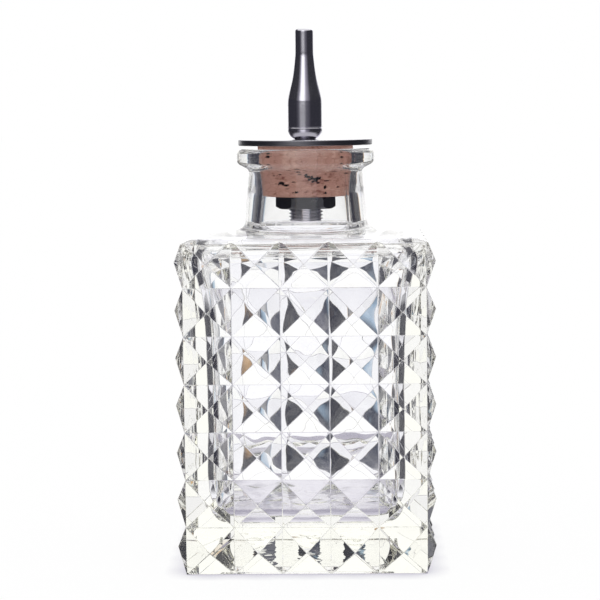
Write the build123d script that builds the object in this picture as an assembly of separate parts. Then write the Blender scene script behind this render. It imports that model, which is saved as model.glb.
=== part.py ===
"""A bitters bottle with a dasher stopper.

The bottle is a square block of glass whose four sides are covered with rows of four-sided pyramids. It has a thick
floor, a nearly flat shoulder and a short round neck with a rolled lip. The stopper is a tapered cork between a steel
disc and a hexagon nut: a threaded stem goes down through the cork, and a slim turned spout stands on the disc with
its shank in the stem, so that the liquid runs up through both and leaves in drops.

Lengths are in millimetres. +Z is up, the front looks towards -Y, and the origin is the middle of the bottle's foot
on the surface that it stands on. Heights are measured from there.
"""
from build123d import *
import os
from math import cos, pi, radians, sqrt, tan

# Bottle: the moulded body
columns = 5
rows = 7
cell_width = 10.65
cell_height = 10.6
pyramid_height = 2.25
upright_edge_radius = 0.9
edge_mould_gap = 0.15
top_edge_radius = 5.0
heel_radius = 3.4
foot_rim_width = 6.0
foot_recess_depth = 0.7
foot_recess_corner_radius = 7.0
foot_recess_slope = 60.0

# Bottle: the shoulder, neck and lip, round the cork's seat
shoulder_rise = 0.9
shoulder_seat_depth = 2.0
neck_wall = 2.0
neck_spread = 1.2
neck_height = 13.5
neck_foot_fillet = 2.2
lip_overhang = 2.8
lip_slope_height = 1.7
lip_bead_height = 3.06
lip_root_fillet = 1.2
lip_under_fillet = 0.8
lip_top_fillet = 1.1
mouth_edge_radius = 0.6

# Bottle: the inside, with its walls measured to the bottom of the valleys between the pyramids
cavity_wall = 4.725
cavity_corner_radius = 4.8
floor_thickness = 11.5
floor_edge_radius = 2.6
lower_flare_height = 5.5
upper_flare_height = 4.5
flare_knee_wall = 4.025
flare_end_wall = 2.425
flare_end_drop = 2.1
roof_thickness = 2.1
ceiling_edge_drop = 0.7
ceiling_wall = 4.325
throat_relief = 1.25
throat_edge_radius = 1.4

# Cork
cork_bottom_radius = 10.05
cork_spread = 0.95
cork_height = 11.7
cork_proud = 0.75
cork_top_edge_radius = 0.2
cork_bottom_edge_radius = 0.5
cork_seat_clearance = 0.09
cork_bore_clearance = 0.15

# Disc
disc_inset = 0.45
disc_thickness = 1.3
disc_edge_radius = 0.25
disc_play = 0.05

# Spout
spout_radius = 4.0
spout_tip_radius = 2.1
spout_foot_ledge = 0.45
spout_foot_height = 2.5
spout_barrel_height = 5.5
spout_waist_height = 13.2
spout_tip_height = 3.9
spout_tip_edge_radius = 0.6
ring_groove_depth = 0.12
ring_groove_width = 0.3
shank_radius = 1.9
shank_length = 6.0
spout_bore_radius = 1.2
outlet_radius = 0.8
outlet_length = 2.0

# Stem and nut
thread_radius = 3.9
thread_pitch = 0.75
thread_depth = 0.42
thread_root_land = 0.13
thread_crest_width = 0.14
thread_bite = 0.1
thread_above_nut = 1.2
thread_end_chamfer = 0.4
thread_radial_clearance = 0.05
thread_axial_clearance = 0.04
stem_below_nut = 2.95
stem_bore_radius = 2.4
nut_across_flats = 12.0
nut_thickness = 2.8
nut_chamfer_angle = 30.0
nut_turn = 4.5

# The seat where the shank is pushed into the stem, and how far a cut runs past the faces that it opens
shank_fit = 0.0
overrun = 1.0

# Sizes and places that follow from these: the body and its hollow
body_width = columns * cell_width
body_height = rows * cell_height
half_width = body_width / 2
edge_mould_half_width = half_width + pyramid_height + edge_mould_gap
cavity_width = body_width - 2 * cavity_wall
flare_knee_width = body_width - 2 * flare_knee_wall
flare_end_width = body_width - 2 * flare_end_wall
ceiling_width = body_width - 2 * ceiling_wall
ceiling_height = body_height - roof_thickness
flare_end_height = ceiling_height - flare_end_drop
flare_knee_height = flare_end_height - upper_flare_height
flare_start_height = flare_knee_height - lower_flare_height

# The neck, which is built out from the cork's seat
cork_top_radius = cork_bottom_radius + cork_spread
throat_radius = cork_bottom_radius + throat_relief
neck_top_radius = cork_top_radius + neck_wall
neck_foot_radius = neck_top_radius + neck_spread
lip_radius = neck_top_radius + lip_overhang
shoulder_height = body_height + shoulder_rise
lip_foot_height = shoulder_height + neck_height
bead_foot_height = lip_foot_height + lip_slope_height
lip_height = bead_foot_height + lip_bead_height

# The stopper, which stands on the lip
disc_radius = lip_radius - disc_inset
spout_foot_radius = shank_radius + spout_foot_ledge
thread_root_width = thread_pitch - thread_root_land
cork_top = lip_height + cork_proud
cork_bottom = cork_top - cork_height
cork_taper = cork_spread / cork_height
disc_top = cork_top + disc_thickness
stem_top = cork_top - disc_play
nut_bottom = cork_bottom - nut_thickness
stem_bottom = nut_bottom - stem_below_nut
thread_top = cork_bottom + thread_above_nut
spout_top = disc_top + spout_foot_height + spout_barrel_height + spout_waist_height + spout_tip_height


def turned(points, radii):
    """A solid turned about Z from a closed outline of (radius, height) points, with a rounding for each corner."""
    outline = FilletPolyline(*points, radius=radii, close=True)
    return revolve(make_face(Plane.XZ * outline), Axis.Z)


def pin(radius, low, high):
    """A plain round bar about Z between two heights."""
    return Pos(0, 0, low) * Cylinder(radius, high - low, align=(Align.CENTER, Align.CENTER, Align.MIN))


def rounded_square(width, corner_radius, height):
    """A level square face with round corners."""
    return Plane.XY.offset(height) * RectangleRounded(width, width, corner_radius)


def saw_teeth(count, pitch, height):
    """The valleys and peaks of a row of pyramids as (distance along, distance out) points, without the last valley."""
    points = []
    for i in range(count):
        points += [(i * pitch, 0), ((i + 1 / 2) * pitch, height)]
    return points


def plan_of_body():
    """The body's outline from above, with each side's five peaks."""
    points, radii = [], []
    for side in range(4):
        for along, out in saw_teeth(columns, cell_width, pyramid_height):
            corner = Vector(along - half_width, -half_width - out).rotate(Axis.Z, 90 * side)
            points.append((corner.X, corner.Y))
            radii.append(0 if along or out else upright_edge_radius)
    return make_face(FilletPolyline(*points, radius=radii, close=True))


def front_of_body():
    """The body's outline from the front, with the seven peaks of its two sides."""
    right = [(half_width + out, up) for up, out in saw_teeth(rows, cell_height, pyramid_height)]
    right.append((half_width, body_height))
    left = [(-x, z) for x, z in reversed(right)]
    return make_face(Plane.XZ * Polyline(*right, *left, close=True))


def edge_mould():
    """A plain block round the body whose rounded edges reach in far enough to soften the shoulder and the heel."""
    width = 2 * edge_mould_half_width
    block = extrude(Rectangle(width, width), body_height)
    block = fillet(block.faces().sort_by(Axis.Z)[-1].edges(), top_edge_radius)
    return fillet(block.faces().sort_by(Axis.Z)[0].edges(), heel_radius)


def body_block():
    """The solid body. Where the three outlines meet, each cell is a pyramid."""
    plan = extrude(plan_of_body(), body_height)
    front = extrude(front_of_body(), half_width + pyramid_height + overrun, both=True)
    return plan & front & Rotation(0, 0, 90) * front & edge_mould()


def neck_and_shoulder():
    """The shallow shoulder, the neck and the rolled lip, turned in one, and still solid."""
    flat_end = edge_mould_half_width - top_edge_radius
    points = [
        (0, body_height - shoulder_seat_depth),
        (flat_end, body_height - shoulder_seat_depth),
        (flat_end, body_height),
        (neck_foot_radius, shoulder_height),
        (neck_top_radius, lip_foot_height),
        (lip_radius, bead_foot_height),
        (lip_radius, lip_height),
        (0, lip_height),
    ]
    radii = [0, 0, 0, neck_foot_fillet, lip_root_fillet, lip_under_fillet, lip_top_fillet, 0]
    return turned(points, radii)


def cavity():
    """The hollow: a square well with a rounded floor, which flares under the shoulder and closes in to the throat."""
    floor_round = floor_edge_radius * (1 - sqrt(1 / 2))
    stations = [
        (floor_thickness, cavity_width - 2 * floor_edge_radius),
        (floor_thickness + floor_round, cavity_width - 2 * floor_round),
        (floor_thickness + floor_edge_radius, cavity_width),
        (flare_start_height, cavity_width),
        (flare_knee_height, flare_knee_width),
        (flare_end_height, flare_end_width),
        (ceiling_height - ceiling_edge_drop, (flare_end_width + ceiling_width) / 2),
        (ceiling_height, ceiling_width),
    ]
    corner_share = cavity_corner_radius / cavity_width
    return loft([rounded_square(width, width * corner_share, z) for z, width in stations], ruled=True)


def throat():
    """The cut from the cavity's ceiling to the mouth, which fits the cork where the cork sits."""
    gap = cork_seat_clearance
    mouth = cork_bottom_radius + cork_taper * (lip_height + overrun - cork_bottom) + gap
    points = [
        (0, ceiling_height - overrun),
        (throat_radius, ceiling_height - overrun),
        (throat_radius, ceiling_height),
        (cork_bottom_radius + gap, cork_bottom),
        (mouth, lip_height + overrun),
        (0, lip_height + overrun),
    ]
    return turned(points, 0)


def foot_recess():
    """The shallow sunk panel that leaves a rim round the foot."""
    face = rounded_square(body_width - 2 * foot_rim_width, foot_recess_corner_radius, 0)
    return extrude(face, foot_recess_depth, taper=foot_recess_slope)


def round_edge(solid, height, radius):
    """Rounds the round inner edge of the throat that lies at this height."""
    rings = solid.edges().filter_by(GeomType.CIRCLE).filter_by(lambda e: abs(e.center().Z - height) < radius / 2)
    ring = rings.sort_by(SortBy.RADIUS)[0]
    return fillet(ring, radius)


def glass_bottle():
    bottle = body_block() + neck_and_shoulder() - cavity() - throat() - foot_recess()
    bottle = round_edge(bottle, lip_height, mouth_edge_radius)
    return round_edge(bottle, ceiling_height, throat_edge_radius)


def cork_stopper():
    """The cork, a little wider at its top, with a plain hole for the stem."""
    hole = thread_radius + cork_bore_clearance
    points = [
        (hole, cork_bottom),
        (cork_bottom_radius, cork_bottom),
        (cork_top_radius, cork_top),
        (hole, cork_top),
    ]
    return turned(points, [0, cork_bottom_edge_radius, cork_top_edge_radius, 0])


def top_disc():
    """The steel disc, free to turn round the shank."""
    hole = shank_radius + disc_play
    points = [(hole, cork_top), (disc_radius, cork_top), (disc_radius, disc_top), (hole, disc_top)]
    return turned(points, [0, disc_edge_radius, disc_edge_radius, 0])


def spout_side(barrel_foot, barrel_top, tip_foot):
    """The spout's outer line from its foot to where the straight tip starts."""
    drop = spout_radius - spout_foot_radius
    foot_arc_radius = (drop**2 + spout_foot_height**2) / (2 * drop)
    foot_arc = RadiusArc((spout_foot_radius, disc_top), (spout_radius, barrel_foot), -foot_arc_radius)
    groove_mid = barrel_foot + ring_groove_width / 2
    groove = Polyline(
        (spout_radius, barrel_foot),
        (spout_radius - ring_groove_depth, groove_mid),
        (spout_radius, barrel_foot + ring_groove_width),
        (spout_radius, barrel_top),
    )
    narrowing = spout_radius - spout_tip_radius
    way_up_shares = (0.055, 0.32, 0.59, 0.82)
    narrowed_shares = (0.015, 0.41, 0.78, 0.96)
    waist_points = [(spout_radius, barrel_top)]
    for up, share in zip(way_up_shares, narrowed_shares):
        waist_points.append((spout_radius - narrowing * share, barrel_top + spout_waist_height * up))
    waist_points.append((spout_tip_radius, tip_foot))
    waist = Spline(*waist_points, tangents=[(0, 1), (0, 1)])
    return foot_arc + groove + waist


def dasher_spout():
    """The turned spout: a round foot, a barrel, a long waist, a straight tip, and the shank below the disc."""
    barrel_foot = disc_top + spout_foot_height
    barrel_top = barrel_foot + spout_barrel_height
    tip_foot = barrel_top + spout_waist_height
    shank_bottom = stem_top - shank_length
    tip = FilletPolyline(
        (spout_tip_radius, tip_foot),
        (spout_tip_radius, spout_top),
        (0, spout_top),
        radius=[spout_tip_edge_radius],
    )
    inner = Polyline(
        (0, spout_top), (0, shank_bottom), (shank_radius, shank_bottom), (shank_radius, disc_top),
        (spout_foot_radius, disc_top),
    )
    outline = spout_side(barrel_foot, barrel_top, tip_foot) + tip + inner
    spout = revolve(make_face(Plane.XZ * outline), Axis.Z)
    outlet = pin(outlet_radius, spout_top - outlet_length - overrun, spout_top + overrun)
    passage = pin(spout_bore_radius, shank_bottom - overrun, spout_top - outlet_length)
    return spout - outlet - passage


def thread_ridge(high, radial_gap=0.0, axial_gap=0.0):
    """The thread's helical ridge, from below the stem's end up to a height, or with gaps the groove it turns in."""
    root = thread_radius - thread_depth
    flank = (thread_root_width - thread_crest_width) / 2 / thread_depth
    crest = thread_radius + radial_gap
    half_crest = thread_crest_width / 2 + axial_gap
    half_foot = thread_root_width / 2 + axial_gap + flank * thread_bite
    start = stem_bottom - thread_pitch
    path = Pos(0, 0, start) * Helix(pitch=thread_pitch, height=high + thread_pitch - start, radius=root)
    section = Polyline(
        (root - thread_bite, start - half_foot),
        (crest, start - half_crest),
        (crest, start + half_crest),
        (root - thread_bite, start + half_foot),
        close=True,
    )
    return sweep(make_face(Plane.XZ * section), path=path, is_frenet=True)


def threaded_stem():
    """The hollow stem, threaded where the nut runs and plain inside the cork."""
    root = thread_radius - thread_depth
    lead = thread_radius - thread_end_chamfer
    wide = thread_radius + overrun
    trim = turned([(0, stem_bottom), (lead, stem_bottom), (wide, stem_bottom + wide - lead), (wide, thread_top),
                   (0, thread_top)], 0)
    stem = pin(root, stem_bottom, stem_top) + (thread_ridge(thread_top) & trim)
    stem += pin(thread_radius, thread_top, stem_top)
    socket = pin(shank_radius + shank_fit, stem_top - shank_length, stem_top + overrun)
    return stem - pin(stem_bore_radius, stem_bottom - overrun, stem_top - shank_length) - socket


def hex_nut():
    """The thin nut under the cork, with both faces chamfered and its thread in step with the stem's."""
    across_corners = nut_across_flats / cos(radians(30))
    chamfer_reach = (across_corners - nut_across_flats) / 2
    chamfer_drop = chamfer_reach * tan(radians(nut_chamfer_angle))
    flat, corner = nut_across_flats / 2, across_corners / 2
    prism = Pos(0, 0, nut_bottom) * Rotation(0, 0, nut_turn) * extrude(RegularPolygon(corner, 6), nut_thickness)
    faced = turned([(0, nut_bottom), (flat, nut_bottom), (corner, nut_bottom + chamfer_drop),
                    (corner, cork_bottom - chamfer_drop), (flat, cork_bottom), (0, cork_bottom)], 0)
    bore = pin(thread_radius - thread_depth + thread_radial_clearance, nut_bottom - overrun, cork_bottom + overrun)
    groove = thread_ridge(cork_bottom + overrun, thread_radial_clearance, thread_axial_clearance)
    return (prism & faced) - bore - groove


pieces = {
    "glass_bottle": glass_bottle,
    "cork_stopper": cork_stopper,
    "top_disc": top_disc,
    "dasher_spout": dasher_spout,
    "threaded_stem": threaded_stem,
    "hex_nut": hex_nut,
}

os.makedirs("parts", exist_ok=True)
for name, make in pieces.items():
    export_step(make(), f"parts/{name}.step")
print(f"body {body_width:.1f} mm wide, lip at {lip_height:.2f} mm, spout top at {spout_top:.2f} mm")
print(f"{thread_pitch / (2 * pi):.6f} mm of rise for each radian that the spout turns")
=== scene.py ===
"""A glass bitters bottle with a cork and steel dasher stopper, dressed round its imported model."""
from math import asin, atan2, ceil, cos, hypot, pi, radians, sin, tan
from random import Random

import bmesh
import bpy
from mathutils import Matrix, Vector, noise


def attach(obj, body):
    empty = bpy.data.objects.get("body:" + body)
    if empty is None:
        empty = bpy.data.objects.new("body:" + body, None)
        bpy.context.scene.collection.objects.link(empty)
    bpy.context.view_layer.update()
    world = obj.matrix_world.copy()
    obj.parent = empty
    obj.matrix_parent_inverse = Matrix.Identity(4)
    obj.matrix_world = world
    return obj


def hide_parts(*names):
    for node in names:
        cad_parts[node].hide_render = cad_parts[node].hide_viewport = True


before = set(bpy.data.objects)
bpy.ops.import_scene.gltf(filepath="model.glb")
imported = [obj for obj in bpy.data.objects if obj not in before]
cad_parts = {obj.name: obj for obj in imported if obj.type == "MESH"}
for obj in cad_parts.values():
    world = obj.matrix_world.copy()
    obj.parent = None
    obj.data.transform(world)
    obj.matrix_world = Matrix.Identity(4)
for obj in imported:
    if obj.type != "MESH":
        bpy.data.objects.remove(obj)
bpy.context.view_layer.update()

bl_info = {
    "name": "Bitters Bottle",
    "version": (1, 0, 0),
    "blender": (4, 5, 0),
    "location": "3D View > Sidebar > Bottle",
    "description": "Builds a pyramid-moulded bitters bottle, its stopper and a plain studio",
    "category": "Object",
}

mm = 0.001
FULL_TURN, QUARTER_TURN = 2 * pi, pi / 2
FULL_DEGREES, HALF_DEGREES, QUARTER_DEGREES = 360, 180, 90
# Ways in plan, counted from the right over the back
FRONT_LEFT, FRONT = radians(225), radians(270)
# The bottle's four sides, counted from the front over the right
SIDES = range(4)


# Shader maths


# A Mix node's sockets for colours
FIRST_COLOUR, SECOND_COLOUR, MIXED_COLOUR = 6, 7, 2
WHITE, BLACK = (1, 1, 1, 1), (0, 0, 0, 1)


def opaque(colour):
    return (*colour, 1)


class Field:
    """One socket of a shader tree. Python's operators on it add the Math nodes that work the sum out."""

    def __init__(self, tree, socket):
        self.tree = tree
        self.socket = socket

    def math(self, operation, *others):
        return self.tree.node("ShaderNodeMath", {"operation": operation}, [self, *others])

    def __add__(self, other):
        return self.math("ADD", other)

    def __mul__(self, other):
        return self.math("MULTIPLY", other)

    def __sub__(self, other):
        return self.math("SUBTRACT", other)

    def __rsub__(self, other):
        return self.tree.node("ShaderNodeMath", {"operation": "SUBTRACT"}, [other, self])

    def __gt__(self, other):
        return self.math("GREATER_THAN", other)

    def __lt__(self, other):
        return self.math("LESS_THAN", other)

    __radd__ = __add__
    __rmul__ = __mul__


class Tree:
    """A node tree being filled. Each node comes from one method, which gives back one of its outputs."""

    def __init__(self, owner):
        owner.use_nodes = True
        self.tree = owner.node_tree
        self.tree.nodes.clear()

    def node(self, kind, settings=None, inputs=(), output=0):
        """Adds a node: its settings first, then the values or links of its sockets."""
        made = self.tree.nodes.new(kind)
        for name, value in (settings or {}).items():
            if name == "stops":
                self.set_stops(made.color_ramp, value)
            else:
                setattr(made, name, value)
        pairs = inputs.items() if isinstance(inputs, dict) else enumerate(inputs)
        for key, value in pairs:
            if isinstance(value, Field):
                self.tree.links.new(value.socket, made.inputs[key])
            elif value is not None:
                made.inputs[key].default_value = value
        return Field(self, made.outputs[output]) if len(made.outputs) else made

    def part(self, field, name):
        """Another output of the node that a field comes from."""
        return Field(self, field.socket.node.outputs[name])

    def parts_of(self, place):
        """The x, y and z of a place or a way."""
        parts = self.node("ShaderNodeSeparateXYZ", None, [place])
        return [self.part(parts, axis) for axis in "XYZ"]

    def mix(self, share, first, second, blend="MIX"):
        """Two colours mixed, by the share of the second."""
        return self.node("ShaderNodeMix", {"data_type": "RGBA", "blend_type": blend}, {
            "Factor": share, FIRST_COLOUR: first, SECOND_COLOUR: second}, MIXED_COLOUR)

    def ramp(self, stops, field):
        """A ramp's colour where a value falls on it."""
        return self.node("ShaderNodeValToRGB", {"stops": stops}, [field])

    @staticmethod
    def set_stops(ramp, stops):
        """Gives a ramp its stops, each with a place and a colour, or with one number for a grey."""
        while len(ramp.elements) > 1:
            ramp.elements.remove(ramp.elements[-1])
        for i, (place, tone) in enumerate(stops):
            element = ramp.elements[0] if i == 0 else ramp.elements.new(place)
            element.position = place
            element.color = (tone, tone, tone, 1) if isinstance(tone, (int, float)) else opaque(tone)


# Outlines


# How far apart the points of a rounded corner lie, and how many steps it has at least
ROUND_STEP, ROUND_LEAST_STEPS = radians(11), 4


def rounded_outline(points, radii, step):
    """An open outline of (radius, height) points: its corners rounded, its straight runs cut to a step."""
    corners = [Vector(p) for p in points]
    line = [corners[0]]
    for before, corner, after, radius in zip(corners, corners[1:], corners[2:], radii):
        if radius:
            into, out = (before - corner).normalized(), (after - corner).normalized()
            half_angle = into.angle(out) / 2
            reach = radius / tan(half_angle)
            centre = corner + (into + out).normalized() * radius / sin(half_angle)
            start, end = corner + into * reach, corner + out * reach
            steps = max(ROUND_LEAST_STEPS, ceil((pi - 2 * half_angle) / ROUND_STEP))
            first = atan2(start.y - centre.y, start.x - centre.x)
            last = atan2(end.y - centre.y, end.x - centre.x)
            sweep = (last - first + pi) % FULL_TURN - pi
            for i in range(steps + 1):
                angle = first + sweep * i / steps
                line.append(centre + Vector((cos(angle), sin(angle))) * radius)
        else:
            line.append(corner)
    line.append(corners[-1])
    cut = [line[0]]
    for a, b in zip(line, line[1:]):
        pieces = max(1, ceil((b - a).length / step))
        cut += [a.lerp(b, i / pieces) for i in range(1, pieces + 1)]
    return cut


def smooth_line(stations, step):
    """A smooth open line through (size, height) stations that doesn't overshoot where they lie unevenly."""
    points = [Vector(s) for s in stations]
    gaps = [(b - a).length for a, b in zip(points, points[1:])]
    slopes = [(b - a) / gap for a, b, gap in zip(points, points[1:], gaps)]
    ways = [slopes[0]]
    for before, after, short, long in zip(slopes, slopes[1:], gaps, gaps[1:]):
        ways.append((before * long + after * short) / (short + long))
    ways.append(slopes[-1])
    line = [points[0]]
    for a, b, way_a, way_b, gap in zip(points, points[1:], ways, ways[1:], gaps):
        count = max(1, ceil(gap / step))
        for i in range(1, count + 1):
            # The cubic that leaves one point and reaches the next along their ways
            t = i / count
            line.append(a * (2 * t**3 - 3 * t**2 + 1) + b * (3 * t**2 - 2 * t**3)
                        + way_a * gap * (t**3 - 2 * t**2 + t) + way_b * gap * (t**3 - t**2))
    return line


def on_circle(radius, turn):
    """A plan point on a circle, by how far round it lies from the front left corner's line."""
    return Vector((radius * cos(FRONT_LEFT + turn), radius * sin(FRONT_LEFT + turn)))


def round_ring(radius, steps):
    """The plan points of a circle."""
    return [on_circle(radius, FULL_TURN * i / steps) for i in range(steps)]


def turned(side, plan):
    """A plan point of the front, turned to one of the four sides."""
    return Matrix.Rotation(radians(QUARTER_DEGREES * side), 2) @ plan


def square_ring(half, corner, side_steps, corner_steps, cut=0.0):
    """The plan points of a square with round corners, starting on the front left corner's line.

    A cut takes that much more off each side, so that a flat at 45 degrees parts the two halves of the corner.
    """
    flat = half - corner
    straight = flat - cut
    quarter = []
    for i in range(corner_steps // 2 + 1):
        a = FRONT_LEFT + QUARTER_TURN * i / corner_steps
        quarter.append(Vector((-straight + corner * cos(a), -flat + corner * sin(a))))
    quarter += [Vector((-straight + 2 * straight * i / side_steps, -half)) for i in range(1, side_steps)]
    for i in range(corner_steps // 2 + (1 if cut else 0)):
        a = FRONT + QUARTER_TURN * i / corner_steps
        quarter.append(Vector((straight + corner * cos(a), -flat + corner * sin(a))))
    return [turned(side, p) for side in SIDES for p in quarter]


# Meshes, built in millimetres


def add_ring(bm, plan, height):
    return [bm.verts.new((p.x, p.y, height)) for p in plan]


def join_rings(bm, first, second):
    """Quads between two rings of as many points, facing out where the second lies above the first."""
    count = len(first)
    for i in range(count):
        j = (i + 1) % count
        bm.faces.new((first[i], first[j], second[j], second[i]))


def join_uneven(bm, first, second):
    """Faces between two closed rings that need not have as many points."""
    edges = [bm.edges.get(pair) or bm.edges.new(pair) for ring in (first, second)
             for pair in zip(ring, ring[1:] + ring[:1])]
    bmesh.ops.bridge_loops(bm, edges=edges)


def new_object(name, bm, material, smooth=True):
    """An object of a mesh that is ready, in metres and with its material."""
    for face in bm.faces:
        face.smooth = smooth
    bmesh.ops.scale(bm, vec=(mm, mm, mm), verts=bm.verts)
    mesh = bpy.data.meshes.new(name)
    bm.to_mesh(mesh)
    bm.free()
    obj = bpy.data.objects.new(name, mesh)
    bpy.context.scene.collection.objects.link(obj)
    mesh.materials.append(material)
    return obj


# The glass


class GlassSettings(bpy.types.PropertyGroup):
    """Sizes and looks of the glass."""

    valley_width: bpy.props.FloatProperty(
        name="Valley width", description="How wide the mould rounds the lines between the pyramids",
        default=0.3 * mm, min=0, precision=5, unit="LENGTH")
    ridge_width: bpy.props.FloatProperty(
        name="Ridge width", description="How wide the mould rounds the pyramids' ridges",
        default=0.2 * mm, min=0, precision=5, unit="LENGTH")
    ripple: bpy.props.FloatProperty(
        name="Ripple", description="How far the inside walls swell in and out",
        default=0.22 * mm, min=0, precision=5, unit="LENGTH")
    ripple_length: bpy.props.FloatProperty(
        name="Ripple length", description="How long the swells of the inside walls are",
        default=9 * mm, min=1 * mm, precision=4, unit="LENGTH")
    tint: bpy.props.FloatVectorProperty(
        name="Tint", description="What the glass lets through, deep inside", subtype="COLOR",
        default=(0.90, 0.885, 0.5), min=0, max=1)
    tint_density: bpy.props.FloatProperty(
        name="Tint density", description="How quickly the glass takes on its tint, for each metre",
        default=3.2, min=0)


GRID_COLUMNS, GRID_ROWS = 5, 7
CELL_WIDTH, CELL_HEIGHT, PYRAMID_HEIGHT = 10.65, 10.6, 2.25
HALF_WIDTH = GRID_COLUMNS * CELL_WIDTH / 2
BODY_HEIGHT = GRID_ROWS * CELL_HEIGHT
HEEL_HEIGHT, HEEL_INSET = 0.15, 1.0
# How high the top row's facets reach, and the valleys between them
FACET_TOP, VALLEY_TOP = 73.17, 73.47
# From each facet's edge inward: how wide a band is, and how far the facet sinks across it
FACET_RIMS = ((0.34, 0.0), (0.1, 0.005), (0.05, 0.0))
# The layer that the bevel reads, and what marks the lines there until their widths are known
EDGE_WEIGHTS = "bevel_weight_edge"
RIDGE_MARK, VALLEY_MARK = 0.5, 1.0
# A line that reaches this much further out than the valleys is a ridge
CLEAR_OF_VALLEYS = 0.01
BEVEL_SEGMENTS = 3

# The arc that rounds the top edge: its radius, and how far out and up its centre lies
TOP_EDGE_RADIUS = 5.0
TOP_EDGE_CENTRE = (24.025, 69.2)
TOP_EDGE_STEPS = 6

# From the rim that the bottle stands on into the panel: each ring's half width, corner radius and height
PANEL_STATIONS = ((20.6, 7.0, 0), (20.3, 6.9, 0.06), (19.7, 6.3, 0.62), (19.3, 6.0, 0.7))
PANEL_RINGS, PANEL_SIDE_STEPS, PANEL_CORNER_STEPS = 22, 24, 8
PANEL_RIPPLE, PANEL_RIPPLE_LENGTH = 0.16, 3.2
FINE_RIPPLE_SHARE, FINE_RIPPLE_RATIO = 0.5, 2.3

# From the shoulder up the neck, over the lip and down the throat: each corner's radius and height
NECK_CORNERS = [(23.8, 74.2), (14.2, 75.1), (13.0, 88.6), (15.8, 90.1), (15.8, 93.36), (11.03, 93.36),
                (10.14, 82.41), (11.3, 72.1), (13.6, 72.1)]
# The radii of the rounds at the corners between the first and the last
NECK_ROUNDS = [2.2, 1.1, 1.3, 1.2, 0.6, 0, 1.4]
# The longest run between two rings, and how many points stand round one
NECK_STEP, NECK_RING_STEPS = 0.9, 128
# The mould's seams lie a quarter and three quarters round, on glass wider than the throat
SEAM_STEPS = (NECK_RING_STEPS // 4, NECK_RING_STEPS * 3 // 4)
SEAM_HALF_TURN, SEAM_HEIGHT, SEAM_LEAST_RADIUS = radians(0.8), 0.03, 12.5

# From the ceiling down to the floor: each ring's half width and height
CAVITY_STATIONS = [(22.3, 72.1), (23.4, 71.5), (24.05, 70.2), (24.05, 68.4), (23.65, 66.2), (23.1, 63.8),
                   (22.6, 60.6), (22.2, 56.8), (21.95, 52.6), (21.85, 47.0), (21.8, 32.0), (21.8, 19.5),
                   (21.6, 16.6), (21.0, 14.3), (19.8, 12.7), (18.0, 11.8), (15.6, 11.5)]
# Its corner radius as a share of its half width, and what the flat at each corner takes off the sides
CAVITY_CORNER_SHARE, CAVITY_CORNER_CUT = 0.06, 0.8
CAVITY_STEP, CAVITY_SIDE_STEPS, CAVITY_CORNER_STEPS, CAVITY_FLOOR_RINGS = 0.8, 56, 16, 16
# Each share belongs to swells half as long as those before
RIPPLE_SHARES = (1.0, 0.45, 0.12)
RIPPLE_SHIFT = Vector((7, 3, 5))

GLASS_IOR = 1.51


def on_side(side, along, out, up):
    """A place on one of the four sides: along it from its left corner, out from the valleys, and up."""
    plan = turned(side, Vector((along - HALF_WIDTH, -HALF_WIDTH - out)))
    return Vector((plan.x, plan.y, up))


def pyramid_sides(bm):
    """The four faceted sides. It gives back the heel's ring and the ring where the facets end at the top."""
    crossings, heel, top = {}, [], []

    def crossing(side, column, row):
        if column == GRID_COLUMNS:
            side, column = (side + 1) % len(SIDES), 0
        key = (side, column, row)
        if key not in crossings:
            up = {0: HEEL_HEIGHT, GRID_ROWS: VALLEY_TOP}.get(row, row * CELL_HEIGHT)
            crossings[key] = bm.verts.new(on_side(side, column * CELL_WIDTH, 0, up))
        return crossings[key]

    cut_share = (BODY_HEIGHT - FACET_TOP) / (CELL_HEIGHT / 2)
    reach, out = cut_share * CELL_WIDTH / 2, cut_share * PYRAMID_HEIGHT
    for side in SIDES:
        for column in range(GRID_COLUMNS):
            heel.append(crossing(side, column, 0))
            for row in range(GRID_ROWS):
                apex = bm.verts.new(on_side(side, (column + 0.5) * CELL_WIDTH, PYRAMID_HEIGHT,
                                            (row + 0.5) * CELL_HEIGHT))
                low_left, low_right = crossing(side, column, row), crossing(side, column + 1, row)
                high_left, high_right = crossing(side, column, row + 1), crossing(side, column + 1, row + 1)
                bm.faces.new((low_left, low_right, apex))
                if row < GRID_ROWS - 1:
                    bm.faces.new((low_right, high_right, apex))
                    bm.faces.new((high_right, high_left, apex))
                    bm.faces.new((high_left, low_left, apex))
                else:
                    left = bm.verts.new(on_side(side, column * CELL_WIDTH + reach, out, FACET_TOP))
                    right = bm.verts.new(on_side(side, (column + 1) * CELL_WIDTH - reach, out, FACET_TOP))
                    bm.faces.new((low_right, high_right, right, apex))
                    bm.faces.new((right, left, apex))
                    bm.faces.new((left, high_left, low_left, apex))
                    top += [high_left, left, right]
    return heel, top


def line_facets(bm):
    """Sets each facet a hair back inside a narrow rim, as the mould leaves the lines standing.

    The lines between the facets are marked for the bevel that rounds them, valleys and ridges apart.
    """
    layer = bm.edges.layers.float.new(EDGE_WEIGHTS)
    lines = list(bm.edges)
    facets = [face for face in bm.faces if len(face.verts) == 3]
    for width, sunk in FACET_RIMS:
        bmesh.ops.inset_individual(bm, faces=facets, thickness=width, depth=-sunk, use_even_offset=True)
    for edge in bm.edges:
        edge[layer] = 0
    for edge in lines:
        furthest = max(max(abs(v.co.x), abs(v.co.y)) for v in edge.verts)
        edge[layer] = RIDGE_MARK if furthest > HALF_WIDTH + CLEAR_OF_VALLEYS else VALLEY_MARK


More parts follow.
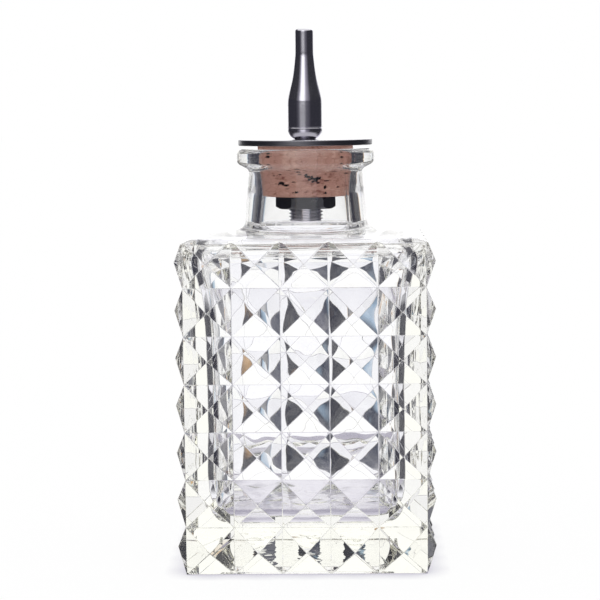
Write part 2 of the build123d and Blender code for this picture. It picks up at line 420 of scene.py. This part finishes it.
def weigh_lines(bm, settings):
    """Turns the marks on the lines into shares of the bevel's width, and returns that width."""
    layer = bm.edges.layers.float[EDGE_WEIGHTS]
    widest = max(settings.valley_width, settings.ridge_width)
    for edge in bm.edges:
        if edge[layer]:
            width = settings.valley_width if edge[layer] > RIDGE_MARK else settings.ridge_width
            edge[layer] = width / widest
    return widest


def top_edge(bm, start):
    """The rounded edge from the facets in to the shoulder."""
    centre_out, centre_up = TOP_EDGE_CENTRE
    rings = [start]
    for step in range(1, TOP_EDGE_STEPS + 1):
        ring = []
        for vert in start:
            reach = max(abs(vert.co.x), abs(vert.co.y))
            first = asin((vert.co.z - centre_up) / TOP_EDGE_RADIUS)
            angle = first + (QUARTER_TURN - first) * step / TOP_EDGE_STEPS
            scale = (centre_out + TOP_EDGE_RADIUS * cos(angle)) / reach
            ring.append(bm.verts.new((vert.co.x * scale, vert.co.y * scale,
                                      centre_up + TOP_EDGE_RADIUS * sin(angle))))
        join_rings(bm, rings[-1], ring)
        rings.append(ring)
    return rings[-1]


def panel_swell(place):
    """How far the panel under the foot swells up at a place."""
    swell = noise.noise(place / PANEL_RIPPLE_LENGTH)
    fine = noise.noise(place / PANEL_RIPPLE_LENGTH * FINE_RIPPLE_RATIO)
    return PANEL_RIPPLE * (swell + FINE_RIPPLE_SHARE * fine)


def panel_ring(bm, half, corner, height):
    return add_ring(bm, square_ring(half, corner, PANEL_SIDE_STEPS, PANEL_CORNER_STEPS), height)


def foot(bm, heel):
    """The heel, the flat rim that the bottle stands on and the shallow, uneven panel inside it."""
    inner_share = (HALF_WIDTH - HEEL_INSET) / HALF_WIDTH
    rim = [bm.verts.new((v.co.x * inner_share, v.co.y * inner_share, 0)) for v in heel]
    join_rings(bm, rim, heel)
    rings = [panel_ring(bm, *PANEL_STATIONS[0])]
    join_uneven(bm, rings[0], rim)
    for station in PANEL_STATIONS[1:]:
        rings.append(panel_ring(bm, *station))
        join_rings(bm, rings[-1], rings[-2])
    half, corner, height = PANEL_STATIONS[-1]
    for step in range(1, PANEL_RINGS):
        share = 1 - step / PANEL_RINGS
        rings.append(panel_ring(bm, half * share, corner * share, height))
        join_rings(bm, rings[-1], rings[-2])
        for vert in rings[-1]:
            vert.co.z += panel_swell(vert.co)
    bm.faces.new(list(reversed(rings[-1])))


def shoulder_and_neck(bm, start):
    """The shoulder, neck, lip and throat, turned in one. It gives back the ring where the throat opens out.

    Two points stand close to each of the mould's seams, so that a seam is a narrow ridge.
    """
    turns = [FULL_TURN * i / NECK_RING_STEPS for i in range(NECK_RING_STEPS)]
    seams = [turns[step] for step in SEAM_STEPS]
    turns = sorted(turns + [seam + side * SEAM_HALF_TURN for seam in seams for side in (-1, 1)])
    seam_places = [turns.index(seam) for seam in seams]
    outline = rounded_outline(NECK_CORNERS, NECK_ROUNDS, NECK_STEP)
    rings = [add_ring(bm, [on_circle(p.x, turn) for turn in turns], p.y) for p in outline]
    for point, ring in zip(outline, rings):
        if point.x > SEAM_LEAST_RADIUS and point.y > VALLEY_TOP:
            for i in seam_places:
                ring[i].co.xy *= 1 + SEAM_HEIGHT / point.x
    join_uneven(bm, start, rings[0])
    for low, high in zip(rings, rings[1:]):
        join_rings(bm, low, high)
    return rings[-1]


def wall_swell(place, settings):
    """How far the inside wall swells at a place, in millimetres: long swells with shorter ones on them."""
    swell = 0.0
    for octave, share in enumerate(RIPPLE_SHARES):
        wave = settings.ripple_length / mm / 2**octave
        swell += share * noise.noise(place / wave + RIPPLE_SHIFT * octave)
    return swell * settings.ripple / mm


def cavity_ring(bm, half, height, share=1):
    """A ring round the cavity, or at a share of the way out over its floor."""
    return add_ring(bm, square_ring(half * share, half * share * CAVITY_CORNER_SHARE, CAVITY_SIDE_STEPS,
                                    CAVITY_CORNER_STEPS, CAVITY_CORNER_CUT * share), height)


def cavity(bm, start, settings):
    """The inside from the throat down: ceiling, flare, walls and floor, with the swells of pressed glass."""
    rings = []
    for half, height in smooth_line(CAVITY_STATIONS, CAVITY_STEP):
        ring = cavity_ring(bm, half, height)
        for vert in ring:
            out = Vector((vert.co.x, vert.co.y, 0)).normalized()
            vert.co += out * wall_swell(vert.co, settings)
        rings.append(ring)
    floor_half, floor_height = CAVITY_STATIONS[-1]
    for step in range(1, CAVITY_FLOOR_RINGS):
        ring = cavity_ring(bm, floor_half, floor_height, 1 - step / CAVITY_FLOOR_RINGS)
        for vert in ring:
            vert.co.z += wall_swell(vert.co, settings)
        rings.append(ring)
    join_uneven(bm, rings[0], start)
    for upper, lower in zip(rings, rings[1:]):
        join_rings(bm, upper, lower)
    bm.faces.new(rings[-1])


def glass_material(settings):
    """Clear glass that takes on a faint tint with depth."""
    material = bpy.data.materials.new("clear_glass")
    tree = Tree(material)
    surface = tree.node("ShaderNodeBsdfPrincipled", None, {
        "Base Color": WHITE, "Roughness": 0.0, "IOR": GLASS_IOR, "Transmission Weight": 1.0})
    depth = tree.node("ShaderNodeVolumeAbsorption", None, {
        "Color": opaque(settings.tint), "Density": settings.tint_density})
    tree.node("ShaderNodeOutputMaterial", None, {"Surface": surface, "Volume": depth})
    return material


class BITTERS_OT_glass_bottle(bpy.types.Operator):
    """Builds the pressed glass bottle"""

    bl_idname = "bitters.glass_bottle"
    bl_label = "Glass Bottle"

    def execute(self, context):
        settings = context.scene.bitters_glass
        bm = bmesh.new()
        heel, top = pyramid_sides(bm)
        line_facets(bm)
        shoulder_start = top_edge(bm, top)
        foot(bm, heel)
        throat_end = shoulder_and_neck(bm, shoulder_start)
        cavity(bm, throat_end, settings)
        widest = weigh_lines(bm, settings)
        bottle = new_object("pressed_glass_bottle", bm, glass_material(settings))
        bevel = bottle.modifiers.new("Moulded edges", "BEVEL")
        bevel.width = widest
        bevel.segments = BEVEL_SEGMENTS
        bevel.limit_method = "WEIGHT"
        bevel.harden_normals = True
        bevel.use_clamp_overlap = False
        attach(bottle, "bottle")
        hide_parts("glass_bottle")
        return {"FINISHED"}


# The cork


class CorkSettings(bpy.types.PropertyGroup):
    """Looks of the cork."""

    colour: bpy.props.FloatVectorProperty(
        name="Colour", description="The cork's main colour", subtype="COLOR",
        default=(0.68, 0.37, 0.30), min=0, max=1)
    pale: bpy.props.FloatVectorProperty(
        name="Pale grain", description="The colour of the cork's paler patches", subtype="COLOR",
        default=(0.84, 0.54, 0.45), min=0, max=1)
    dark: bpy.props.FloatVectorProperty(
        name="Dark grain", description="The colour of the cork's darker patches", subtype="COLOR",
        default=(0.34, 0.13, 0.10), min=0, max=1)
    # The pits' near-black is partly the pores' dark filling and partly painted shade inside the holes
    pit_colour_and_shade: bpy.props.FloatVectorProperty(
        name="Pits", description="The colour inside the pores", subtype="COLOR",
        default=(0.018, 0.012, 0.011), min=0, max=1)
    pore_count: bpy.props.IntProperty(
        name="Pores", description="How many pores the side of the cork has", default=70, min=0)
    pore_depth: bpy.props.FloatProperty(
        name="Pore depth", description="How deep the deepest pores are",
        default=0.45 * mm, min=0, precision=5, unit="LENGTH")


CORK_HOLE, CORK_BOTTOM_RADIUS, CORK_TOP_RADIUS = 4.05, 10.05, 11.0
CORK_BOTTOM, CORK_TOP = 82.41, 94.11
CORK_ROUNDS = (0.5, 0.2)
CORK_STEP, CORK_RING_STEPS, CORK_HOLE_STEPS = 0.22, 320, 8

# The pores that face forward: each one's place aside of the middle, height, half width and half height
FRONT_PORES = ((0.25, 87.5, 0.3, 0.4), (0.8, 87.1, 0.45, 0.3), (1.5, 87.0, 0.3, 0.35), (1.1, 86.5, 0.4, 0.25),
               (2.0, 86.6, 0.45, 0.2), (2.6, 86.2, 0.3, 0.3), (1.7, 86.0, 0.5, 0.15), (2.9, 85.7, 0.3, 0.15),
               (-5.2, 85.6, 0.9, 0.3), (-4.2, 85.2, 0.8, 0.2), (4.5, 84.7, 0.35, 0.4), (4.7, 83.3, 0.3, 0.3),
               (-1.9, 83.6, 0.5, 0.18))
# The scattered ones: how near the ends they come, and how their half widths, half heights and depths spread
PORE_SEED, PORE_SIZE_SHARES, PORE_DEPTH_SHARES = 11, (0.3, 1.0), (0.3, 0.9)
CLEAR_BELOW_PORES, CLEAR_ABOVE_PORES = 0.5, 0.4
PORE_HALF_WIDTH, PORE_MORE_WIDTH, PORE_HALF_HEIGHT, PORE_MORE_HEIGHT = 0.25, 0.75, 0.12, 0.25
# A pore's ragged outline, the power that rounds its walls, and the side's unevenness between the pores
RAGGEDNESS, RAGGED_SCALE, LEAST_RAGGED, PORE_WALL_POWER = 1.1, 3.7, 0.2, 0.6
UNEVENNESS, UNEVEN_SCALE = 0.03, 1.7
# What lies further in than this from the bottom's edge isn't the side
SIDE_BAND = 0.6

# How much flatter than wide the cork's grain lies, and how its textures add up
CORK_SQUASH = 1.9
CLOUD_SHARE, GRAIN_SHARE, CELL_RELIEF = 0.75, 0.45, 3.0
CORK_ROUGHNESS, CORK_ROUGHNESS_SPREAD = 0.72, 0.2


def cork_pores(settings):
    """The pores on the cork's side: each one's angle, height, half width, half height and depth."""
    mean_radius = (CORK_BOTTOM_RADIUS + CORK_TOP_RADIUS) / 2
    draw = Random(PORE_SEED)
    pores = [(FRONT + x / mean_radius, z, wide, high, 1.0) for x, z, wide, high in FRONT_PORES]
    for _ in range(settings.pore_count):
        angle = draw.uniform(0, FULL_TURN)
        size = draw.uniform(*PORE_SIZE_SHARES) ** 2
        height = draw.uniform(CORK_BOTTOM + CLEAR_BELOW_PORES, CORK_TOP - CLEAR_ABOVE_PORES)
        high = PORE_HALF_HEIGHT + PORE_MORE_HEIGHT * size * draw.random()
        pores.append((angle, height, PORE_HALF_WIDTH + PORE_MORE_WIDTH * size, high,
                      draw.uniform(*PORE_DEPTH_SHARES)))
    return pores


def sink_pores(bm, settings):
    """Sinks the pores into the side of the cork, and keeps how deep each point lies for the material."""
    layer = bm.verts.layers.float.new("pore")
    pores = cork_pores(settings)
    depth = settings.pore_depth / mm
    for vert in bm.verts:
        radius = hypot(vert.co.x, vert.co.y)
        if radius < CORK_BOTTOM_RADIUS - SIDE_BAND:
            continue
        angle = atan2(vert.co.y, vert.co.x)
        ragged = max(LEAST_RAGGED, 1 + RAGGEDNESS * noise.noise(vert.co * RAGGED_SCALE))
        sunk = 0.0
        for at, height, wide, high, share in pores:
            across = ((angle - at + pi) % FULL_TURN - pi) * radius / wide
            up = (vert.co.z - height) / high
            reach = (across * across + up * up) * ragged
            if reach < 1:
                sunk = max(sunk, share * (1 - reach) ** PORE_WALL_POWER)
        vert[layer] = sunk
        inward = sunk * depth + UNEVENNESS * (1 + noise.noise(vert.co * UNEVEN_SCALE))
        vert.co.x *= 1 - inward / radius
        vert.co.y *= 1 - inward / radius


def cork_material(settings):
    """Cork with pale and dark patches, a fine grain, seams between its cells, and pits that go darker with
    depth to near black: partly their dark filling, partly painted shade in the holes.
    """
    material = bpy.data.materials.new("cork")
    tree = Tree(material)
    place = tree.node("ShaderNodeTexCoord", None, (), "Object")
    flattened = tree.node("ShaderNodeMapping", None, {"Vector": place, "Scale": (1, 1, CORK_SQUASH)})
    cloud = tree.node("ShaderNodeTexNoise", None, {
        "Vector": flattened, "Scale": 260, "Detail": 3, "Roughness": 0.6})
    grain = tree.node("ShaderNodeTexNoise", None, {
        "Vector": flattened, "Scale": 1100, "Detail": 4, "Roughness": 0.7})
    cells = tree.node("ShaderNodeTexVoronoi", {"feature": "DISTANCE_TO_EDGE"}, {
        "Vector": flattened, "Scale": 420}, "Distance")
    patches = tree.ramp([(0.44, settings.dark), (0.54, settings.colour), (0.64, settings.colour),
                         (0.76, settings.pale)], cloud * CLOUD_SHARE + grain * GRAIN_SHARE)
    seams = tree.node("ShaderNodeMapRange", None, {
        "Value": cells, "From Min": 0.0, "From Max": 0.05, "To Min": 0.35, "To Max": 0.0}, "Result")
    pore = tree.node("ShaderNodeAttribute", {"attribute_name": "pore"}, (), "Fac")
    # Deeper in a pore the colour goes to near black: painted shade in the hole, over the pore's own darker
    # filling
    pit_shade_share = tree.node("ShaderNodeMapRange", None, {
        "Value": pore, "From Min": 0.08, "From Max": 0.45}, "Result")
    colour = tree.mix(pit_shade_share, tree.mix(seams, patches, opaque(settings.dark)), opaque(settings.pit_colour_and_shade))
    relief = tree.node("ShaderNodeBump", None, {
        "Strength": 0.6, "Distance": 0.08 * mm, "Height": grain + cells * CELL_RELIEF})
    surface = tree.node("ShaderNodeBsdfPrincipled", None, {
        "Base Color": colour, "Roughness": CORK_ROUGHNESS + grain * CORK_ROUGHNESS_SPREAD,
        "Normal": relief, "Specular IOR Level": 0.25})
    tree.node("ShaderNodeOutputMaterial", None, {"Surface": surface})
    return material


class BITTERS_OT_cork(bpy.types.Operator):
    """Builds the cork with its pores"""

    bl_idname = "bitters.cork"
    bl_label = "Cork"

    def execute(self, context):
        settings = context.scene.bitters_cork
        outline = rounded_outline(
            [(CORK_HOLE, CORK_BOTTOM), (CORK_BOTTOM_RADIUS, CORK_BOTTOM), (CORK_TOP_RADIUS, CORK_TOP),
             (CORK_HOLE, CORK_TOP)], CORK_ROUNDS, CORK_STEP)
        outline += [Vector((CORK_HOLE, CORK_TOP - (CORK_TOP - CORK_BOTTOM) * i / CORK_HOLE_STEPS))
                    for i in range(1, CORK_HOLE_STEPS)]
        bm = bmesh.new()
        rings = [add_ring(bm, round_ring(p.x, CORK_RING_STEPS), p.y) for p in outline]
        for low, high in zip(rings, rings[1:] + rings[:1]):
            join_rings(bm, low, high)
        sink_pores(bm, settings)
        cork = new_object("pored_cork", bm, cork_material(settings))
        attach(cork, "stopper")
        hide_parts("cork_stopper")
        return {"FINISHED"}


# The steel


class SteelSettings(bpy.types.PropertyGroup):
    """Looks of the steel."""

    polished: bpy.props.FloatVectorProperty(
        name="Polished steel", description="The colour of the disc and the spout", subtype="COLOR",
        default=(0.58, 0.57, 0.61), min=0, max=1)
    turned: bpy.props.FloatVectorProperty(
        name="Turned steel", description="The colour of the stem", subtype="COLOR",
        default=(0.70, 0.69, 0.73), min=0, max=1)
    nut: bpy.props.FloatVectorProperty(
        name="Nut", description="The colour of the blackened nut", subtype="COLOR",
        default=(0.06, 0.06, 0.068), min=0, max=1)
    turning_pitch: bpy.props.FloatProperty(
        name="Turning pitch", description="How far apart the lathe's marks lie",
        default=0.16 * mm, min=0.01 * mm, precision=5, unit="LENGTH")


# Each finish: its roughness, how high the lathe's marks stand, and how many pitches lie between them
POLISHED, TURNED, BLACKENED = (0.1, 0.0012, 1.0), (0.13, 0.003, 1.6), (0.26, 0.004, 1.6)
# How many pitches the lathe's marks wander, and how much the film's smudges show beside them
MARKS_WANDER, SMUDGE_RELIEF = 1.5, 0.8
# What the film takes off the steel's colour and adds to its roughness
FILM_SHARE, FILM_TONE, FILM_ROUGHNESS = 0.3, 0.75, 0.07
# The disc's rim, where it is sheared out of its sheet: rougher there, and its colour painted darker as
# painted shade for the dark it mirrors. No piece reaches the radius that stands for no rim
DISC_RIM_RADIUS, DISC_RIM_ROUGHNESS, DISC_RIM_PAINTED_SHADE, NO_RIM = 15.2, 0.22, 0.6, 1000


def steel_material(name, colour, finish, settings, rim_radius=NO_RIM):
    """Steel off the lathe: fine rings up the sides and across the ends, and a film that is uneven by touch.

    Past the rim's radius the steel is rougher, and its colour is painted darker as painted shade for the dark
    it mirrors.
    """
    roughness, relief, spread = finish
    pitch = settings.turning_pitch * spread
    material = bpy.data.materials.new(name)
    tree = Tree(material)
    place = tree.node("ShaderNodeTexCoord", None, (), "Object")
    x, y, z = tree.parts_of(place)
    radius = (x * x + y * y).math("SQRT")
    rim = radius > rim_radius * mm
    wander = tree.node("ShaderNodeTexNoise", None, {"Vector": place, "Scale": 90, "Detail": 2})
    marks = ((z + radius + wander * (pitch * MARKS_WANDER)) * (FULL_TURN / pitch)).math("SINE")
    smudge = tree.node("ShaderNodeTexNoise", None, {
        "Vector": place, "Scale": 240, "Detail": 5, "Roughness": 0.65})
    film = tree.node("ShaderNodeMapRange", None, {
        "Value": smudge, "From Min": 0.35, "From Max": 0.7}, "Result")
    filmed = tree.mix(film * FILM_SHARE, opaque(colour), opaque(FILM_TONE * c for c in colour))
    bump = tree.node("ShaderNodeBump", None, {
        "Strength": 0.35, "Distance": relief * mm, "Height": marks + smudge * SMUDGE_RELIEF})
    # Past the rim the colour is mixed towards black: painted shade, not the steel's own colour
    surface = tree.node("ShaderNodeBsdfPrincipled", None, {
        "Base Color": tree.mix(rim * DISC_RIM_PAINTED_SHADE, filmed, BLACK), "Metallic": 1.0, "Normal": bump,
        "Roughness": film * FILM_ROUGHNESS + rim * DISC_RIM_ROUGHNESS + roughness})
    tree.node("ShaderNodeOutputMaterial", None, {"Surface": surface})
    return material


class BITTERS_OT_steel(bpy.types.Operator):
    """Finishes the disc, spout, stem and nut"""

    bl_idname = "bitters.steel"
    bl_label = "Steel"

    def execute(self, context):
        settings = context.scene.bitters_steel
        finishes = {
            "top_disc": steel_material("disc_with_painted_dark_rim", settings.polished, POLISHED, settings,
                                       DISC_RIM_RADIUS),
            "dasher_spout": steel_material("polished_steel", settings.polished, POLISHED, settings),
            "threaded_stem": steel_material("turned_steel", settings.turned, TURNED, settings),
            "hex_nut": steel_material("blackened_steel", settings.nut, BLACKENED, settings)}
        for node, material in finishes.items():
            for material_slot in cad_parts[node].material_slots:
                material_slot.material = material
        return {"FINISHED"}


# The stage


class StageSettings(bpy.types.PropertyGroup):
    """The plain studio round the bottle."""

    lens: bpy.props.FloatProperty(
        name="Lens", description="The camera's focal length in millimetres", default=117.27, min=1)
    distance: bpy.props.FloatProperty(
        name="Distance", description="How far off the camera stands",
        default=450.2 * mm, min=0.05, unit="LENGTH")
    camera_height: bpy.props.FloatProperty(
        name="Camera height", description="How high the camera stands",
        default=103.03 * mm, min=0, unit="LENGTH")
    camera_aside: bpy.props.FloatProperty(
        name="Camera aside", description="How far right the camera stands", default=8.8 * mm, unit="LENGTH")
    heading: bpy.props.FloatProperty(
        name="Heading", description="How far the camera turns to the left",
        default=radians(1.32), subtype="ANGLE")
    pitch: bpy.props.FloatProperty(
        name="Pitch", description="How far the camera looks down", default=radians(5.67), subtype="ANGLE")
    roll: bpy.props.FloatProperty(
        name="Roll", description="How far the picture leans to the left",
        default=radians(-0.6), subtype="ANGLE")
    sheet_turn: bpy.props.FloatProperty(
        name="Sheet turn", description="How far the four lit sheets stand round from the axes, in degrees",
        default=0.0)
    box_turn: bpy.props.FloatProperty(
        name="Box turn", description="How far the two soft boxes stand round from front and back, in degrees",
        default=-22.0)
    cloth: bpy.props.FloatVectorProperty(
        name="Cloth", description="The colour of the dark cloth between the sheets", subtype="COLOR",
        default=(0.045, 0.045, 0.06), min=0, max=1)
    side_shade: bpy.props.FloatProperty(
        name="Side shade", description="How much the side sheets are kept from what the glass mirrors inside",
        default=1.0, min=0, max=1)
    ambient: bpy.props.FloatVectorProperty(
        name="Even light", description="The even light on everything matt", subtype="COLOR",
        default=(0.95, 0.95, 0.96), min=0, max=1)
    floor_colour: bpy.props.FloatVectorProperty(
        name="Table", description="How much of the table's white comes from the light on it", subtype="COLOR",
        default=(0.05, 0.05, 0.045), min=0, max=1)
    contact: bpy.props.FloatProperty(
        name="Contact shadow", description="How far the close shadow round the foot reaches",
        default=5 * mm, min=0, precision=4, unit="LENGTH")
    contact_colour: bpy.props.FloatVectorProperty(
        name="Contact shadow colour", description="The colour of the shadow where the foot meets the table",
        subtype="COLOR", default=(0.52, 0.50, 0.60), min=0, max=1)
    shade: bpy.props.FloatVectorProperty(
        name="Shade under the foot", description="The colour of the table where the bottle stands on it",
        subtype="COLOR", default=(0.40, 0.38, 0.48), min=0, max=1)
    shade_middle: bpy.props.FloatVectorProperty(
        name="Shade in the middle", description="The colour of the table under the middle of the foot",
        subtype="COLOR", default=(0.76, 0.74, 0.84), min=0, max=1)
    shade_reach: bpy.props.FloatProperty(
        name="Shade reach", description="How far the shade under the foot reaches from the middle",
        default=27.5 * mm, min=0, precision=4, unit="LENGTH")


# Round a quarter of a turn, with a lit sheet in the middle
SHEET_STOPS = [
    (0.0, (0.05, 0.05, 0.06)), (0.06, (0.12, 0.12, 0.14)), (0.13, (0.20, 0.20, 0.24)),
    (0.18, (0.07, 0.08, 0.11)), (0.2, (0.42, 0.56, 0.70)), (0.228, 1.05), (0.732, 1.05),
    (0.755, (0.66, 0.43, 0.23)), (0.78, (0.055, 0.055, 0.07)), (0.96, (0.05, 0.05, 0.06))]
# Round half a turn, with a soft box in the middle
BOX_STOPS = [
    (0.0, (0.05, 0.05, 0.06)), (0.15, (0.06, 0.06, 0.07)), (0.21, (0.24, 0.23, 0.28)),
    (0.33, (0.6, 0.58, 0.66)), (0.40, (1.9, 1.9, 1.95)), (0.52, (1.9, 1.9, 1.95)),
    (0.6, (0.40, 0.39, 0.45)), (0.7, (0.06, 0.06, 0.07)), (1.0, (0.05, 0.05, 0.06))]
# From straight down to straight up: how far the sheets and the cloth give way to plain white
OPEN_STOPS = [(0.0, 1), (0.2, 1), (0.3, 0), (0.8, 0), (0.9, 0.7), (1.0, 1)]
# The violet that the table's shade lends to what comes from below
HAZE_STOPS = [(0.0, (0.74, 0.73, 0.82)), (0.1, (0.86, 0.86, 0.93)), (0.25, (0.93, 0.93, 0.98)),
              (0.44, (0.96, 0.96, 1.0)), (0.48, 1), (1.0, 1)]
# How bright the soft boxes are against the cloth
BOX_LEVEL_STOPS = [(0.0, 0.45), (0.2, 0.45), (0.27, 0.1), (0.4935, 0.15), (0.4955, 0.4), (0.545, 0.4),
                   (0.552, 0.03), (0.577, 0.03), (0.585, 1), (0.9, 1)]
# The white behind the bottle, in nearly level ways, that the shoulder mirrors
LOW_SHEET_STOPS = [(0.0, 0), (0.455, 0), (0.47, 1), (0.58, 1), (0.60, 0)]
# Where mirrored rays see the white table and the white ceiling
ENDS_STOPS = [(0.0, 1), (0.09, 1), (0.15, 0), (0.76, 0), (0.84, 1)]
MIRRORED_WHITE = (1.3, 1.3, 1.3, 1)
# How far back a way has to point to see the low sheet
LOW_SHEET_BACK = 0.8
# Light Path counts in whole numbers, so a depth above this is at least one
NOT_YET_ONE = 0.5

TABLE_RADII, TABLE_STEPS, TABLE_HEIGHT = (100, 400, 1500, 6000), 96, -0.02
# How much the patches shift the edge of the shade under the foot, and where that shade starts and is full
PATCH_SHARE, SHADE_START, SHADE_FULL = 0.9, 0.25, 0.95

SENSOR_WIDTH, CLIP_START = 36, 0.01
GLASS_BOUNCES, OTHER_BOUNCES = 32, 24


def add_camera(scene, settings):
    data = bpy.data.cameras.new("Camera")
    data.lens = settings.lens
    data.sensor_width = SENSOR_WIDTH
    data.clip_start = CLIP_START
    camera = bpy.data.objects.new("Camera", data)
    scene.collection.objects.link(camera)
    turn = Matrix.Rotation(settings.heading, 3, "Z") @ Matrix.Rotation(QUARTER_TURN - settings.pitch, 3, "X")
    turn = turn @ Matrix.Rotation(settings.roll, 3, "Z")
    camera.matrix_world = Matrix.Translation(
        (settings.camera_aside, -settings.distance, settings.camera_height)) @ turn.to_4x4()
    scene.camera = camera


def share_round(turn, shift, stretch):
    """How far through its stretch of the round a way lies, from 0 to 1.

    The turn, shift and stretch are in degrees. Without a shift, straight back is the middle of a stretch.
    """
    return (turn + (shift + FULL_DEGREES + stretch / 2)).math("MODULO", stretch) * (1 / stretch)


def light_world(scene, settings):
    """Four lit sheets round the bottle with dark cloth between them, as clear glass is photographed.

    The camera sees white, matt things see an even light, and steel sees a soft box before and behind it.
    """
    world = bpy.data.worlds.new("World")
    scene.world = world
    tree = Tree(world)
    x, y, z = tree.parts_of(tree.node("ShaderNodeTexCoord", None, (), "Generated"))
    turn = x.math("ARCTAN2", y) * (HALF_DEGREES / pi)
    # From 0 straight down to 1 straight up
    lift = z * 0.5 + 0.5
    path = tree.node("ShaderNodeLightPath", None, (), "Is Camera Ray")
    reflected = tree.part(path, "Glossy Depth") > NOT_YET_ONE
    gathered = tree.part(path, "Diffuse Depth") > NOT_YET_ONE
    cloth, ambient = opaque(settings.cloth), opaque(settings.ambient)

    sheets = tree.ramp(SHEET_STOPS, share_round(turn, settings.sheet_turn, QUARTER_DEGREES))
    sideways = x.math("ABSOLUTE") > y.math("ABSOLUTE")
    shut = tree.mix(sideways * reflected * settings.side_shade, sheets, cloth)
    opened = tree.mix(tree.ramp(OPEN_STOPS, lift), shut, WHITE)
    through = tree.mix(1.0, opened, tree.ramp(HAZE_STOPS, lift), "MULTIPLY")

    box = tree.ramp(BOX_STOPS, share_round(turn, settings.box_turn, HALF_DEGREES))
    boxes = tree.mix(tree.ramp(BOX_LEVEL_STOPS, lift), cloth, box)
    white_share = tree.ramp(LOW_SHEET_STOPS, lift) * (y > LOW_SHEET_BACK) + tree.ramp(ENDS_STOPS, lift)
    mirrored = tree.mix(white_share, boxes, MIRRORED_WHITE)

    outside = tree.mix(tree.part(path, "Is Glossy Ray"), ambient, mirrored)
    seen = tree.mix(tree.part(path, "Is Transmission Ray"), outside, through)
    colour = tree.mix(path, tree.mix(gathered, seen, ambient), WHITE)
    light = tree.node("ShaderNodeBackground", None, {"Color": colour, "Strength": 1.0})
    tree.node("ShaderNodeOutputWorld", None, {"Surface": light})


def table_material(settings):
    """White that shines at the camera but for the shadow round the foot.

    Steel doesn't see it, glass sees only the shade under the foot, and matt things get its white light.
    """
    material = bpy.data.materials.new("white_table")
    tree = Tree(material)
    path = tree.node("ShaderNodeLightPath", None, (), "Is Camera Ray")
    gathered = tree.part(path, "Diffuse Depth") > NOT_YET_ONE
    open_white = opaque(1 - c * l for c, l in zip(settings.floor_colour, settings.ambient))
    matt = tree.node("ShaderNodeBsdfDiffuse", None, {"Color": opaque(settings.floor_colour)})
    near = tree.node("ShaderNodeAmbientOcclusion", {"samples": 8}, {"Distance": settings.contact}, "AO")
    glow = tree.node("ShaderNodeEmission", None, {
        "Color": tree.mix(near, opaque(settings.contact_colour), open_white), "Strength": 1.0})
    lit = tree.node("ShaderNodeAddShader", None, [matt, glow])
    seen = tree.node("ShaderNodeMixShader", None, [path, matt, lit])

    place = tree.node("ShaderNodeTexCoord", None, (), "Object")
    x, y, _ = tree.parts_of(place)
    aside = x.math("ABSOLUTE").math("MAXIMUM", y.math("ABSOLUTE"))
    patches = tree.node("ShaderNodeTexNoise", None, {"Vector": place, "Scale": 190, "Detail": 2})
    depth = tree.node("ShaderNodeMapRange", {"interpolation_type": "SMOOTHSTEP"}, {
        "Value": aside * (1 / settings.shade_reach) + patches * PATCH_SHARE - PATCH_SHARE / 2,
        "From Min": SHADE_START, "From Max": SHADE_FULL}, "Result")
    shade = tree.node("ShaderNodeEmission", None, {
        "Color": tree.mix(depth, opaque(settings.shade_middle), opaque(settings.shade)), "Strength": 1.0})
    gone = tree.node("ShaderNodeBsdfTransparent")
    through = tree.node("ShaderNodeMixShader", None, [aside < settings.shade_reach, gone, shade])
    reflected, refracted = tree.part(path, "Is Glossy Ray"), tree.part(path, "Is Transmission Ray")
    outside = tree.node("ShaderNodeMixShader", None, [reflected, seen, gone])
    either = tree.node("ShaderNodeMixShader", None, [refracted, outside, through])
    bounce = tree.node("ShaderNodeEmission", None, {"Color": open_white, "Strength": 1.0})
    tree.node("ShaderNodeOutputMaterial", None, {
        "Surface": tree.node("ShaderNodeMixShader", None, [gathered, either, bounce])})
    return material


def add_table(settings):
    bm = bmesh.new()
    rings = [add_ring(bm, round_ring(radius, TABLE_STEPS), TABLE_HEIGHT) for radius in TABLE_RADII]
    for inner, outer in zip(rings, rings[1:]):
        join_rings(bm, outer, inner)
    bm.faces.new(rings[0])
    table = new_object("table", bm, table_material(settings), smooth=False)


class BITTERS_OT_stage(bpy.types.Operator):
    """Builds the table, the light and the camera"""

    bl_idname = "bitters.stage"
    bl_label = "Stage"

    def execute(self, context):
        scene = context.scene
        settings = scene.bitters_stage
        scene.view_settings.view_transform = "Standard"
        add_camera(scene, settings)
        light_world(scene, settings)
        add_table(settings)
        scene.cycles.max_bounces = scene.cycles.transmission_bounces = GLASS_BOUNCES
        scene.cycles.glossy_bounces = scene.cycles.transparent_max_bounces = OTHER_BOUNCES
        return {"FINISHED"}


class VIEW3D_PT_bitters(bpy.types.Panel):
    """Lists what the add-on builds"""

    bl_label = "Bitters Bottle"
    bl_idname = "VIEW3D_PT_bitters"
    bl_space_type = "VIEW_3D"
    bl_region_type = "UI"
    bl_category = "Bottle"

    def draw(self, context):
        for operator in OPERATORS:
            self.layout.operator(operator.bl_idname)


SETTINGS = {"bitters_glass": GlassSettings, "bitters_cork": CorkSettings, "bitters_steel": SteelSettings,
            "bitters_stage": StageSettings}
OPERATORS = (BITTERS_OT_glass_bottle, BITTERS_OT_cork, BITTERS_OT_steel, BITTERS_OT_stage)


def register():
    for name, group in SETTINGS.items():
        bpy.utils.register_class(group)
        setattr(bpy.types.Scene, name, bpy.props.PointerProperty(type=group))
    for cls in (*OPERATORS, VIEW3D_PT_bitters):
        bpy.utils.register_class(cls)


def unregister():
    for cls in reversed((*OPERATORS, VIEW3D_PT_bitters)):
        bpy.utils.unregister_class(cls)
    for name, group in SETTINGS.items():
        delattr(bpy.types.Scene, name)
        bpy.utils.unregister_class(group)


def main():
    register()
    bpy.ops.bitters.glass_bottle()
    bpy.ops.bitters.cork()
    bpy.ops.bitters.steel()
    bpy.ops.bitters.stage()


if __name__ == "__main__":
    main()
